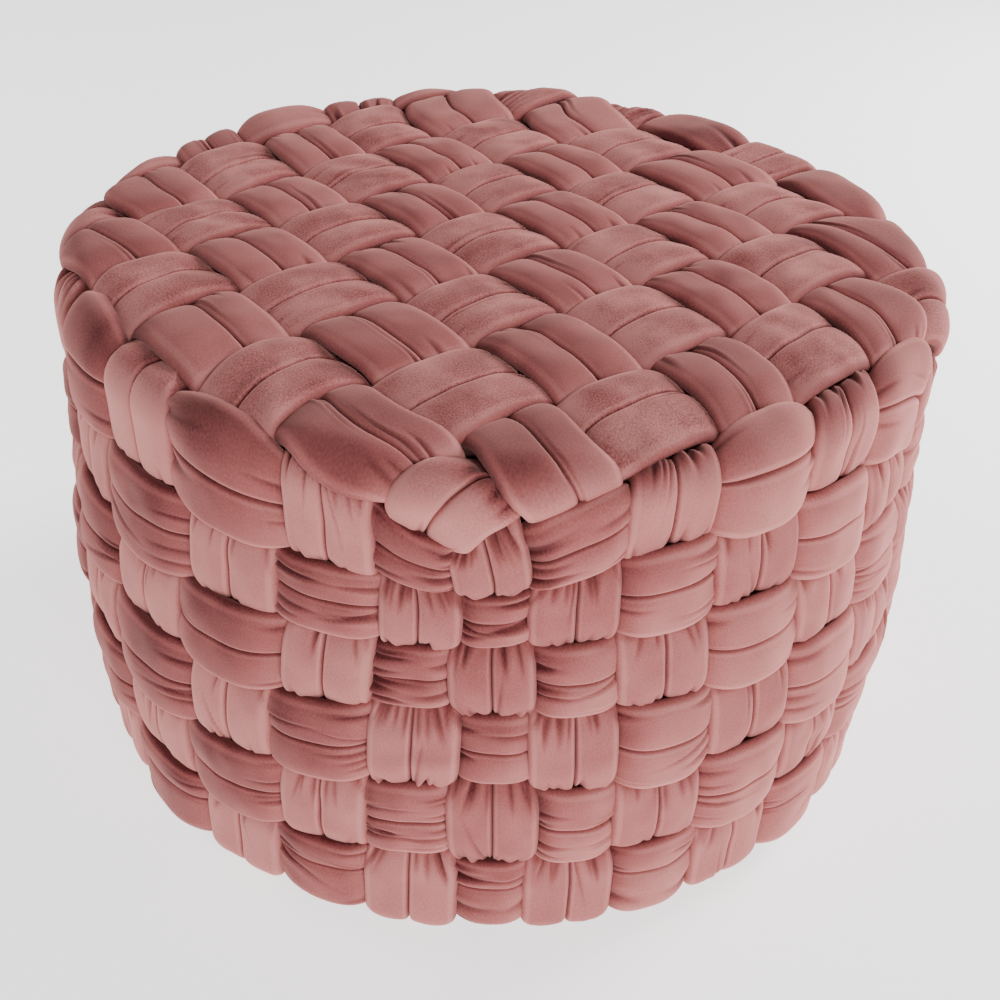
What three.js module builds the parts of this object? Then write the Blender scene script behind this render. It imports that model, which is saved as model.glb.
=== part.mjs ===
import * as THREE from 'three';

// Braided velvet pouf: a drum-shaped inner cushion covered by a plain weave of padded strands.
// Millimetres, +Z up. The origin is the centre of the underside, which rests on z = 0.
//
// Each strand is one velvet casing with a seam along its middle, so it has two filled channels.
// Seven strands cross the top from side to side (along X) and seven from front to back (along Y).
// All fourteen bend over the rim and run down the side, where six ring strands weave through them.
//
// A place on the pouf is given by its reach, the distance from the top's centre measured along
// the weave's middle surface, and its azimuth, 0 at the front (-Y) and 90 at the right (+X).

// Driving dimensions of the drum
const WIDTH = 560;
const HEIGHT = 345;
const BARREL = 7.4;
const RIM_RADIUS = 30;
const FOOT_RADIUS = 25;
const FOOT_CENTRE_HEIGHT = 30;

// Padding of a strand, measured from its own middle line
const LOBE = 9.5;
const SEAM = 6;
const BELLY = 6;
const STRAND_WIDTH = 62;
const GAP = 2;

// Middle line of a strand above or below the weave's middle surface: over a strand, at the
// edges of that strand, under a strand, and at the tail
const OVER_LIFT = LOBE;
const DIVE_LIFT = 0;
const UNDER_LIFT = -(BELLY + GAP);
const TAIL_LIFT = -5;

// The turned-in end of a strand under the foot
const TAIL_LENGTH = 13;

// The base board carries the pouf, so the strands stay this far above the floor
const FLOOR_CLEARANCE = 0.5;

// Crowding: a strand swells where it lies over another and is pinched where it lies under.
// Each is a share of the room to the next strand, and near the rim there is less room.
const SWELL_LIMIT = 0.4;
const PINCH = 0.85;
const RIM_PINCH = 0.4;
const TAIL_WIDTH = 0.75;

// Strands that cross the top from left to right, the front one first. y: place on the top.
// left and right: azimuths of the two ends on the side, at the rim and at the foot.
const CROSSWISE = [
  { y: -204, left: [-49.4, -50.6], right: [44, 44] },
  { y: -126, left: [-59.8, -62], right: [56, 56] },
  { y: -62, left: [-73, -75], right: [71, 71] },
  { y: 4, left: [-88.5, -89], right: [87, 87] },
  { y: 65, left: [-103, -104], right: [101, 101] },
  { y: 125, left: [-114.5, -115], right: [114, 114] },
  { y: 188, left: [-126, -126], right: [126, 126] },
];

// The front and back strands of these bow inwards towards their ends, by this share at 200 mm.
// The others turn a little to the front at their right ends.
const BOW = 0.14;
const BOW_SPAN = 200;
const SLANT = 0.04;

// Strands that cross the top from front to back, the left one first. x: place on the middle
// strand of those above, xFront and xNear on the first two, where they lean, xBack on the last.
const LENGTHWISE = [
  { xFront: -180, xNear: -204, x: -201, xBack: -183, front: [-41.7, -40], back: [-142, -142] },
  { xFront: -143, xNear: -132, x: -131, xBack: -131, front: [-32.4, -30.4], back: [-154, -154] },
  { xFront: -78, xNear: -67, x: -68, xBack: -72, front: [-22, -19.5], back: [-168, -168] },
  { xFront: -15, xNear: -4, x: -7, xBack: -10, front: [-9.8, -7], back: [178, 178] },
  { xFront: 46, xNear: 57, x: 52, xBack: 46, front: [3, 6.5], back: [163, 163] },
  { xFront: 105, xNear: 119, x: 112, xBack: 104, front: [15.5, 18.5], back: [149, 149] },
  { xFront: 157, xNear: 180, x: 172, xBack: 163, front: [27.5, 30.5], back: [138, 138] },
];

// Ring strands, the top one first. reach: middle line. dip: how much lower it is at a corner.
// sag: how much lower it is on the left side.
const RINGS = [
  { reach: 253, dip: 33, sag: 8 },
  { reach: 303, dip: 12, sag: 12 },
  { reach: 353, dip: 0, sag: 12 },
  { reach: 405, dip: -6, sag: 10 },
  { reach: 466, dip: -8, sag: 10 },
  { reach: 524, dip: 0, sag: 0 },
];
const DIP_SPREAD = 16;
const SAG_CENTRE = -82;
const SAG_SPREAD = 24;

// The square grid of the top has four corners, which are crowded onto the rim
const CORNERS = { frontLeft: -45.6, frontRight: 37, backRight: 131, backLeft: -133.5 };
const CORNER_REACH = 250;

// The inner drum and its flat base board
const BASE_RADIUS = 218;
const BASE_TOP = 40;
const INNER_DEPTH = 19;
const INNER_FOOT = 90;
const INNER_SIDES = 40;

const VELVET = new THREE.MeshStandardMaterial({ color: 0xb27a78, roughness: 0.85, metalness: 0 });
const LINING = new THREE.MeshStandardMaterial({ color: 0x8a8585, roughness: 0.95, metalness: 0 });

// Worked out from the driving dimensions
const CROWN = OVER_LIFT + LOBE;
const TOP_HEIGHT = HEIGHT - CROWN;
const MIDDLE_RADIUS = WIDTH / 2 - CROWN;
const SIDE_RADIUS = MIDDLE_RADIUS - BARREL;
const FLAT_RADIUS = SIDE_RADIUS - RIM_RADIUS;
const SIDE_TOP = TOP_HEIGHT - RIM_RADIUS;
const SIDE_START = FLAT_RADIUS + RIM_RADIUS * Math.PI / 2;
const SIDE_LENGTH = SIDE_TOP - FOOT_CENTRE_HEIGHT;
const SIDE_END = SIDE_START + SIDE_LENGTH;
const FOOT_START_RADIUS = SIDE_RADIUS - FOOT_RADIUS;
const FOOT_END = SIDE_END + FOOT_RADIUS * Math.PI / 2;
const TAIL_START = FOOT_END - TAIL_LENGTH / 3;
const TAIL_END = TAIL_START + TAIL_LENGTH;

const radians = THREE.MathUtils.degToRad;

// The middle surface's outline: radius, height and outward direction at a reach
function outline(reach) {
  if (reach < FLAT_RADIUS) {
    return { radius: reach, height: TOP_HEIGHT, out: 0, up: 1 };
  }
  if (reach < SIDE_START) {
    const turn = (reach - FLAT_RADIUS) / RIM_RADIUS;
    const out = Math.sin(turn);
    const up = Math.cos(turn);
    return { radius: FLAT_RADIUS + RIM_RADIUS * out, height: SIDE_TOP + RIM_RADIUS * up, out, up };
  }
  if (reach < SIDE_END) {
    const part = (reach - SIDE_START) / SIDE_LENGTH;
    const bow = BARREL * Math.sin(Math.PI * part) ** 2;
    return { radius: SIDE_RADIUS + bow, height: SIDE_TOP - SIDE_LENGTH * part, out: 1, up: 0 };
  }
  if (reach < FOOT_END) {
    const turn = (reach - SIDE_END) / FOOT_RADIUS;
    const out = Math.cos(turn);
    const up = -Math.sin(turn);
    const radius = FOOT_START_RADIUS + FOOT_RADIUS * out;
    return { radius, height: FOOT_CENTRE_HEIGHT + FOOT_RADIUS * up, out, up };
  }
  const radius = FOOT_START_RADIUS - (reach - FOOT_END);
  return { radius, height: FOOT_CENTRE_HEIGHT - FOOT_RADIUS, out: 0, up: -1 };
}

// A place spread flat: the top stays as it is and the side opens out around it
function spread(reach, azimuth) {
  return new THREE.Vector3(reach * Math.sin(azimuth), -reach * Math.cos(azimuth), 0);
}

function azimuthOf(place) {
  return Math.atan2(place.x, -place.y);
}

// The point that a spread place has on the pouf, at a height above the middle surface
function onPouf(place, lift) {
  const azimuth = azimuthOf(place);
  const { radius, height, out, up } = outline(place.length());
  const rim = radius + lift * out;
  const level = Math.max(height + lift * up, FLOOR_CLEARANCE);
  return new THREE.Vector3(rim * Math.sin(azimuth), -rim * Math.cos(azimuth), level);
}

function angleBetween(first, second) {
  const turn = Math.abs(first - second) % 360;
  return Math.min(turn, 360 - turn);
}

// Where a ring's middle line lies at an azimuth in degrees
function ringReach(ring, azimuth) {
  const away = Math.min(...Object.values(CORNERS).map((corner) => angleBetween(azimuth, corner)));
  const dip = ring.dip * Math.exp(-((away / DIP_SPREAD) ** 2));
  const sag = ring.sag * Math.exp(-((angleBetween(azimuth, SAG_CENTRE) / SAG_SPREAD) ** 4));
  return ring.reach + dip + sag;
}

// The crossings. Each knows its place and which of its two strands is on top.
function makeCrossing(place, upper, lower) {
  return { place, upper, lower, spacing: new Map() };
}

function makeStrand(name, closed) {
  return { name, closed, bent: false, crossings: [] };
}

const across = CROSSWISE.map((row, index) => makeStrand(`strand_across_${index + 1}`, false));
const along = LENGTHWISE.map((row, index) => makeStrand(`strand_along_${index + 1}`, false));
const rings = RINGS.map((row, index) => makeStrand(`strand_ring_${index + 1}`, true));

// The strands that lie along the rim are bent across their width
for (const strand of [across[0], across.at(-1), along[0], along.at(-1), rings[0]]) {
  strand.bent = true;
}

function topPlace(rowIndex, columnIndex) {
  const lastRow = CROSSWISE.length - 1;
  const lastColumn = LENGTHWISE.length - 1;
  const atFront = rowIndex === 0;
  const atLeft = columnIndex === 0;
  if ((atFront || rowIndex === lastRow) && (atLeft || columnIndex === lastColumn)) {
    const corner = (atFront ? 'front' : 'back') + (atLeft ? 'Left' : 'Right');
    return spread(CORNER_REACH, radians(CORNERS[corner]));
  }
  const { xFront, xNear, x: xMiddle, xBack } = LENGTHWISE[columnIndex];
  const middleRow = lastRow / 2;
  const nearShare = (rowIndex - 1) / (middleRow - 1);
  const farShare = (rowIndex - middleRow) / middleRow;
  const near = THREE.MathUtils.lerp(xNear, xMiddle, nearShare);
  const behind = rowIndex > middleRow ? THREE.MathUtils.lerp(xMiddle, xBack, farShare) : near;
  const x = atFront ? xFront : behind;
  const isOuter = atFront || rowIndex === lastRow;
  const { y } = CROSSWISE[rowIndex];
  return new THREE.Vector3(x, isOuter ? y * (1 - BOW * (x / BOW_SPAN) ** 2) : y - SLANT * x, 0);
}

const topCrossings = CROSSWISE.map((row, rowIndex) => LENGTHWISE.map((column, columnIndex) => {
  const pair = [across[rowIndex], along[columnIndex]];
  if ((rowIndex + columnIndex) % 2 === 1) {
    pair.reverse();
  }
  return makeCrossing(topPlace(rowIndex, columnIndex), ...pair);
}));

// The crossings of one strand end with the rings, from the rim down. The first two rings cross
// it at the azimuth of the rim, and the last one at the azimuth of the foot.
function sideCrossings(strand, [atRim, atFoot], ringOnTopFirst) {
  return RINGS.map((ring, ringIndex) => {
    const share = Math.max(0, ringIndex - 1) / (RINGS.length - 2);
    const azimuth = THREE.MathUtils.lerp(atRim, atFoot, share);
    const pair = [rings[ringIndex], strand];
    if ((ringIndex % 2 === 0) !== ringOnTopFirst) {
      pair.reverse();
    }
    const crossing = makeCrossing(spread(ringReach(ring, azimuth), radians(azimuth)), ...pair);
    crossing.azimuth = azimuth;
    rings[ringIndex].crossings.push(crossing);
    return crossing;
  });
}

CROSSWISE.forEach((row, index) => {
  const ringOnTopFirst = index % 2 === 0;
  const left = sideCrossings(across[index], row.left, ringOnTopFirst);
  const right = sideCrossings(across[index], row.right, ringOnTopFirst);
  across[index].crossings = [...left.reverse(), ...topCrossings[index], ...right];
});

LENGTHWISE.forEach((column, index) => {
  const ringOnTopFirst = index % 2 === 1;
  const front = sideCrossings(along[index], column.front, ringOnTopFirst);
  const back = sideCrossings(along[index], column.back, ringOnTopFirst);
  const top = topCrossings.map((row) => row[index]);
  along[index].crossings = [...front.reverse(), ...top, ...back];
});

rings.forEach((ring) => ring.crossings.sort((first, second) => first.azimuth - second.azimuth));

const strands = [...across, ...along, ...rings];

// How far each crossing is from the ones before and after it on the same strand
strands.forEach((strand) => {
  const { crossings, closed } = strand;
  const count = crossings.length;
  const points = crossings.map((crossing) => onPouf(crossing.place, 0));
  crossings.forEach((crossing, index) => {
    const hasBefore = closed || index > 0;
    const hasAfter = closed || index < count - 1;
    const point = points[index];
    let before = hasBefore ? point.distanceTo(points[(index + count - 1) % count]) : 0;
    let after = hasAfter ? point.distanceTo(points[(index + 1) % count]) : 0;
    before = before || after;
    after = after || before;
    crossing.spacing.set(strand, { before, after });
  });
});

// Half width of a strand towards a neighbour at a distance, where it lies over and under
function swollen(distance) {
  return Math.min((distance + STRAND_WIDTH) / 4, distance * SWELL_LIMIT);
}

function pinched(distance, isOnRim) {
  return (distance - swollen(distance)) * (isOnRim ? RIM_PINCH : PINCH);
}

// A strand's middle line passes all its crossings, and an open one goes on to its two tail ends
strands.forEach((strand) => {
  const { closed, crossings } = strand;
  const places = crossings.map((crossing) => crossing.place);
  if (!closed) {
    places.unshift(spread(TAIL_END, radians(crossings[0].azimuth)));
    places.push(spread(TAIL_END, radians(crossings.at(-1).azimuth)));
  }
  strand.curve = new THREE.CatmullRomCurve3(places, closed, 'catmullrom', 0.5);
  const points = places.map((place) => onPouf(place, 0));
  strand.gaps = points.map((point, index) => point.distanceTo(points[(index + 1) % points.length]));
});

// A crossing's number among the points of its strand's middle line
function numberOn(strand, crossing) {
  return strand.crossings.indexOf(crossing) + (strand.closed ? 0 : 1);
}

function shareOfCurve(strand, number) {
  const { length } = strand.gaps;
  return strand.closed ? ((number + length) % length) / length : number / (length - 1);
}

// The place on a strand's middle line at a distance from one of its crossings
function placeOn(strand, crossing, distance) {
  const number = numberOn(strand, crossing);
  const gap = strand.gaps.at(distance < 0 ? number - 1 : number);
  return strand.curve.getPoint(shareOfCurve(strand, number + distance / gap));
}

// The direction in which a strand passes one of its crossings
function headingAt(strand, crossing) {
  return strand.curve.getTangent(shareOfCurve(strand, numberOn(strand, crossing)));
}

// The place at one distance from a crossing along a strand and another along the other strand.
// Both strands of a crossing take their points from here, so their faces fit one another.
function placeNear(crossing, strand, distance, other, otherDistance) {
  const first = placeOn(strand, crossing, distance);
  const second = placeOn(other, crossing, otherDistance);
  const { place } = crossing;
  if (crossing.azimuth === undefined) {
    return first.add(second).sub(place);
  }
  const reach = first.length() + second.length() - place.length();
  return spread(reach, azimuthOf(first) + azimuthOf(second) - azimuthOf(place));
}

// Near the rim the strands bend, so they need more sections
function liesOnRim(place) {
  const reach = place.length();
  return reach > FLAT_RADIUS - 2 * RIM_RADIUS && reach < SIDE_START + 2 * RIM_RADIUS;
}

// The sections of one strand. Each has a place for every distance to its left, a lift, and a
// half width on both sides.
function makeStations(strand) {
  const stations = [];
  strand.crossings.forEach((crossing) => {
    const isOver = crossing.upper === strand;
    const other = isOver ? crossing.lower : crossing.upper;
    const { before, after } = crossing.spacing.get(strand);
    const side = crossing.spacing.get(other);
    const onRim = liesOnRim(crossing.place);
    const half = isOver ? swollen : (gap) => pinched(gap, onRim);
    const heading = headingAt(strand, crossing);
    const passing = headingAt(other, crossing);
    const otherRunsLeft = heading.x * passing.y - heading.y * passing.x > 0;
    const sign = otherRunsLeft ? 1 : -1;
    const left = half(otherRunsLeft ? side.after : side.before);
    const right = half(otherRunsLeft ? side.before : side.after);
    const back = isOver ? pinched(before, onRim) : swollen(before);
    const front = isOver ? pinched(after, onRim) : swollen(after);
    const add = (share, lift) => {
      const distance = THREE.MathUtils.lerp(-back, front, share);
      const at = (offset) => placeNear(crossing, strand, distance, other, sign * offset);
      stations.push({ at, lift, left, right });
    };
    if (isOver) {
      const lobes = onRim && !strand.closed ? [0.25, 0.5, 0.75] : [0.25, 0.75];
      add(0, DIVE_LIFT);
      lobes.forEach((share) => add(share, OVER_LIFT));
      add(1, DIVE_LIFT);
    } else {
      const shares = onRim && other.bent ? [0, 0.25, 0.5, 0.75, 1] : [0, 1];
      shares.forEach((share) => add(share, UNDER_LIFT));
    }
  });
  return stations;
}

// The tail of a strand, which turns in under the foot and stops against the base board
function tail(strand, atStart) {
  const station = atStart ? strand.stations[0] : strand.stations.at(-1);
  const crossing = atStart ? strand.crossings[0] : strand.crossings.at(-1);
  const azimuth = radians(crossing.azimuth);
  const sign = atStart ? -1 : 1;
  return [TAIL_START, TAIL_END].map((reach) => ({
    at: (offset) => spread(reach, azimuth + sign * offset / outline(reach).radius),
    lift: TAIL_LIFT,
    left: station.left * TAIL_WIDTH,
    right: station.right * TAIL_WIDTH,
  }));
}

// A strand's cross-section: place across the strand and height above its middle line. The
// strands that are bent across their width have more points on their underside.
const TOP_SIDE = [[-1, -BELLY], [-0.5, LOBE], [0, SEAM], [0.5, LOBE], [1, -BELLY]];
const BENT_UNDERSIDE = [[0.5, -BELLY], [0, -BELLY], [-0.5, -BELLY]];

function sectionPoints(station, section) {
  const middle = (station.left - station.right) / 2;
  const half = (station.left + station.right) / 2;
  return section.map(([share, height]) => {
    return onPouf(station.at(middle + share * half), station.lift + height);
  });
}

// One closed skin over a strand's sections
function strandGeometry(strand, section) {
  const sides = section.length;
  const points = strand.stations.flatMap((station) => sectionPoints(station, section));
  const count = strand.stations.length;
  const faces = [];
  const lengths = strand.closed ? count : count - 1;
  for (let index = 0; index < lengths; index += 1) {
    const here = index * sides;
    const next = ((index + 1) % count) * sides;
    for (let side = 0; side < sides; side += 1) {
      const across = (side + 1) % sides;
      faces.push(here + side, next + side, here + across);
      faces.push(here + across, next + side, next + across);
    }
  }
  if (!strand.closed) {
    const last = (count - 1) * sides;
    for (const [first, second, third] of endFaces(section)) {
      faces.push(first, third, second);
      faces.push(last + first, last + second, last + third);
    }
  }
  const geometry = new THREE.BufferGeometry();
  geometry.setFromPoints(points);
  geometry.setIndex(faces);
  geometry.computeVertexNormals();
  return geometry;
}

// The flat end of an open strand
function endFaces(section) {
  const outlinePoints = section.map(([share, height]) => new THREE.Vector2(share * STRAND_WIDTH / 2, height));
  return THREE.ShapeUtils.triangulateShape(outlinePoints, []);
}

function strandMesh(strand, section) {
  const mesh = new THREE.Mesh(strandGeometry(strand, section), VELVET);
  mesh.name = strand.name;
  return mesh;
}

// The inner drum: a firm cushion, and below it the board that carries the strands' tails
function innerDrum() {
  const shoulder = 12;
  const side = SIDE_RADIUS - INNER_DEPTH;
  const belly = MIDDLE_RADIUS - INNER_DEPTH;
  const top = TOP_HEIGHT - INNER_DEPTH;
  const profile = [
    [0, 0],
    [BASE_RADIUS, 0],
    [BASE_RADIUS, BASE_TOP],
    [side, INNER_FOOT],
    [belly, (INNER_FOOT + SIDE_TOP) / 2],
    [side, SIDE_TOP],
    [side - shoulder, top],
    [0, top],
  ];
  const points = profile.map(([radius, height]) => new THREE.Vector2(radius, height));
  const geometry = new THREE.LatheGeometry(points, INNER_SIDES);
  geometry.rotateX(Math.PI / 2);
  const mesh = new THREE.Mesh(geometry, LINING);
  mesh.name = 'inner_drum';
  return mesh;
}

const pouf = new THREE.Group();
pouf.name = 'braided_pouf';
strands.forEach((strand) => {
  strand.stations = makeStations(strand);
  if (!strand.closed) {
    const start = tail(strand, true).reverse();
    strand.stations = [...start, ...strand.stations, ...tail(strand, false)];
  }
  const section = strand.bent ? [...TOP_SIDE, ...BENT_UNDERSIDE] : TOP_SIDE;
  pouf.add(strandMesh(strand, section));
});
pouf.add(innerDrum());

export default pouf;
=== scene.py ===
import math

import bpy
import numpy as np
from mathutils import Matrix, Vector


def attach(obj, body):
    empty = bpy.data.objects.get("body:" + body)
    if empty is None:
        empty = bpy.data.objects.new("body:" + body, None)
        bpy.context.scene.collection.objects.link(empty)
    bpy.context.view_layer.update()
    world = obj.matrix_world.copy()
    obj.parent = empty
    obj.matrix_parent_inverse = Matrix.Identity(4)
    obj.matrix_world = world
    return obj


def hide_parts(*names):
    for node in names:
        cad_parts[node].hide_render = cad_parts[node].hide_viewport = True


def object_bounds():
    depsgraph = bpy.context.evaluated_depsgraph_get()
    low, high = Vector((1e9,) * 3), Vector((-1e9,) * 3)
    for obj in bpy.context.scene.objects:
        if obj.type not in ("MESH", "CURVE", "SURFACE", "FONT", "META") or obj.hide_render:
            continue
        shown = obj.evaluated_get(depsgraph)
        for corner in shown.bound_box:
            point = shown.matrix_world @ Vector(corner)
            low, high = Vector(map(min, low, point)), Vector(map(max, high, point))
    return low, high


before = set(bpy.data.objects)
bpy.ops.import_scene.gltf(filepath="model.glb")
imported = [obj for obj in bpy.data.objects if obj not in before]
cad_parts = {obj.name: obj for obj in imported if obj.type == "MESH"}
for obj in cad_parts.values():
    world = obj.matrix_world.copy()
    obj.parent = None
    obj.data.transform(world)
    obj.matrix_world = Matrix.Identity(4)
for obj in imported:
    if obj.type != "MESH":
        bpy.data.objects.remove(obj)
cad_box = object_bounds()

# Camera. The photograph looks down at the pouf from its front left corner, from about a metre
# away, with the camera tilted a little. The view's angles are in degrees, and its place in metres.
VIEW_AZIMUTH = -42.4
VIEW_ELEVATION = 35.15
VIEW_ROLL = 2.39
VIEW_DISTANCE = 1.041
VIEW_TARGET = Vector((0.00415, -0.00379, 0.1408))
LENS = 54.0
SENSOR = 36.0


def direction(azimuth, elevation):
    """The way from the pouf to an azimuth, 0 in front of it and 90 to its right, and an elevation."""
    angle = math.radians(azimuth)
    rise = math.radians(elevation)
    return Vector((math.sin(angle) * math.cos(rise), -math.cos(angle) * math.cos(rise), math.sin(rise)))


def add_object(name, data):
    """Put a new object in the scene."""
    thing = bpy.data.objects.new(name, data)
    bpy.context.scene.collection.objects.link(thing)
    return thing


def add_camera():
    """Put the camera where the photograph was taken from."""
    angle = math.radians(VIEW_AZIMUTH)
    roll = math.radians(VIEW_ROLL)
    back = direction(VIEW_AZIMUTH, VIEW_ELEVATION)
    level = Vector((math.cos(angle), math.sin(angle), 0))
    above = back.cross(level)
    right = level * math.cos(roll) + above * math.sin(roll)
    upward = above * math.cos(roll) - level * math.sin(roll)
    data = bpy.data.cameras.new("photo_camera")
    data.lens = LENS
    data.sensor_width = SENSOR
    camera = add_object("photo_camera", data)
    turn = Matrix((right, upward, back)).transposed().to_4x4()
    camera.matrix_world = Matrix.Translation(VIEW_TARGET + back * VIEW_DISTANCE) @ turn
    bpy.context.scene.camera = camera


add_camera()

# Weave. The cover is a plain weave of padded strands over a drum. Seven run from side to side
# and seven from front to back. They cross on the top, bend over the rim and run down the side,
# where six ring strands weave through them. Sizes here are in millimetres, angles in degrees.
MM = 0.001
WIDTH = round((cad_box[1][0] - cad_box[0][0]) / MM)
HEIGHT = round((cad_box[1][2] - cad_box[0][2]) / MM)
BARREL = 7.4
MIDDLE_DEPTH = 19.0

# The azimuths of each strand's ends are given just below the rim and at the foot. A lengthwise
# strand's x is given where it meets the known rows of the crosswise ones.
CROSSWISE = [
    {"y": -204, "left": (-49.4, -50.6), "right": (44, 44)},
    {"y": -126, "left": (-59.8, -62), "right": (56, 56)},
    {"y": -62, "left": (-73, -75), "right": (71, 71)},
    {"y": 4, "left": (-88.5, -89), "right": (87, 87)},
    {"y": 65, "left": (-103, -104), "right": (101, 101)},
    {"y": 125, "left": (-114.5, -115), "right": (114, 114)},
    {"y": 188, "left": (-126, -126), "right": (126, 126)},
]
LENGTHWISE = [
    {"x": (-180, -204, -201, -183), "front": (-41.7, -40), "back": (-142, -142)},
    {"x": (-143, -132, -131, -131), "front": (-32.4, -30.4), "back": (-154, -154)},
    {"x": (-78, -67, -68, -72), "front": (-22, -19.5), "back": (-168, -168)},
    {"x": (-15, -4, -7, -10), "front": (-9.8, -7), "back": (178, 178)},
    {"x": (46, 57, 52, 46), "front": (3, 6.5), "back": (163, 163)},
    {"x": (105, 119, 112, 104), "front": (15.5, 18.5), "back": (149, 149)},
    {"x": (157, 180, 172, 163), "front": (27.5, 30.5), "back": (138, 138)},
]
KNOWN_ROWS = (0, 1, 3, 6)
RINGS = [
    {"reach": 253, "dip": 33, "sag": 8},
    {"reach": 303, "dip": 12, "sag": 12},
    {"reach": 353, "dip": 0, "sag": 12},
    {"reach": 405, "dip": -6, "sag": 10},
    {"reach": 466, "dip": -8, "sag": 10},
    {"reach": 524, "dip": 0, "sag": 0},
]
DIP_SPREAD = 16.0
SAG_CENTRE = -82.0
SAG_SPREAD = 24.0
BOW = 0.14
BOW_SPAN = 200.0
SLANT = 0.04
CORNERS = {"front_left": -45.6, "front_right": 37, "back_right": 131, "back_left": -133.5}
CORNER_REACH = 255.0

# The hull is the surface that the strands' crowns touch: flat on top, round at the rim, a little
# fuller towards the belly and at the corners, and turned in at the foot.
HULL_RADIUS = WIDTH / 2 - BARREL
RIM_RADIUS = 26.0
FOOT_RADIUS = 25.0
RIM_FLAT = HULL_RADIUS - RIM_RADIUS
RIM_TURN = RIM_RADIUS * math.pi / 2
FOOT_FLAT = HULL_RADIUS - FOOT_RADIUS
FOOT_TURN = FOOT_RADIUS * math.pi / 2
SIDE_LENGTH = HEIGHT - RIM_RADIUS - FOOT_RADIUS
SIDE_START = RIM_FLAT + RIM_TURN
SIDE_END = SIDE_START + SIDE_LENGTH
RIM_STRETCH = {"from": 200.0, "to": 290.0, "by": 38.9}
FOOT_STRETCH = {"from": 520.0, "to": 576.0, "by": 4.0}
TAIL_END = 585.0
DEEPEST = 27.0
BELLY_LOW = 1.35
CORNER_BULGE = 2.0
CORNER_BULGE_SPREAD = 15.0
CORNER_BULGE_FROM = (180, 240)
CORNER_BULGE_HEIGHT = 90.0


def smooth(low, high, value):
    """From 0 at the low value to 1 at the high one, level at both."""
    part = np.clip((value - low) / (high - low), 0, 1)
    return part * part * (3 - 2 * part)


def hull(reach, azimuth):
    """Radius, height and outward direction of the hull at a place. It is longer than the middle
    surface that the reach is measured on, because it lies outside it at the rim and at the foot."""
    length = reach
    for stretch in (RIM_STRETCH, FOOT_STRETCH):
        length = length + stretch["by"] * smooth(stretch["from"], stretch["to"], reach)
    rim_turn = np.clip((length - RIM_FLAT) / RIM_RADIUS, 0, math.pi / 2)
    down = np.clip(length - SIDE_START, 0, SIDE_LENGTH)
    foot_turn = np.clip((length - SIDE_END) / FOOT_RADIUS, 0, math.pi / 2)
    on_foot = length > SIDE_END
    radius = np.minimum(length, RIM_FLAT) + RIM_RADIUS * np.sin(rim_turn)
    radius = radius + BARREL * np.sin(math.pi * (down / SIDE_LENGTH) ** BELLY_LOW) ** 2
    past_foot = np.maximum(length - SIDE_END - FOOT_TURN, 0)
    radius = np.where(on_foot, FOOT_FLAT + FOOT_RADIUS * np.cos(foot_turn) - past_foot, radius)
    height = HEIGHT - RIM_RADIUS * (1 - np.cos(rim_turn)) - down
    height = np.where(on_foot, FOOT_RADIUS * (1 - np.sin(foot_turn)), height)
    outward = np.where(on_foot, np.cos(foot_turn), np.sin(rim_turn))
    upward = np.where(on_foot, -np.sin(foot_turn), np.cos(rim_turn))
    for corner in CORNERS.values():
        away = (np.degrees(azimuth) - corner + 180) % 360 - 180
        near = np.exp(-((away / CORNER_BULGE_SPREAD) ** 2)) * smooth(*CORNER_BULGE_FROM, length)
        radius = radius + CORNER_BULGE * near * (1 - smooth(0, CORNER_BULGE_HEIGHT, down))
    return radius, height, outward, upward


def spread(reach, azimuth):
    """A place as flat coordinates, from its reach, the distance from the top's centre along the
    weave's middle surface, and its azimuth. The top stays as it is and the side opens out."""
    return np.stack([reach * np.sin(azimuth), -reach * np.cos(azimuth)], axis=-1)


def azimuth_of(place):
    """The azimuth of a place, in radians."""
    return np.arctan2(place[..., 0], -place[..., 1])


def reach_of(place):
    """The reach of a place."""
    return np.hypot(place[..., 0], place[..., 1])


def on_pouf(place, depth):
    """The point that a place has on the pouf, at a depth below the crowns."""
    azimuth = azimuth_of(place)
    radius, height, outward, upward = hull(reach_of(place), azimuth)
    depth = np.minimum(depth, DEEPEST)
    rim = radius - depth * outward
    return np.stack([rim * np.sin(azimuth), -rim * np.cos(azimuth), height - depth * upward], axis=-1)


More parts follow.
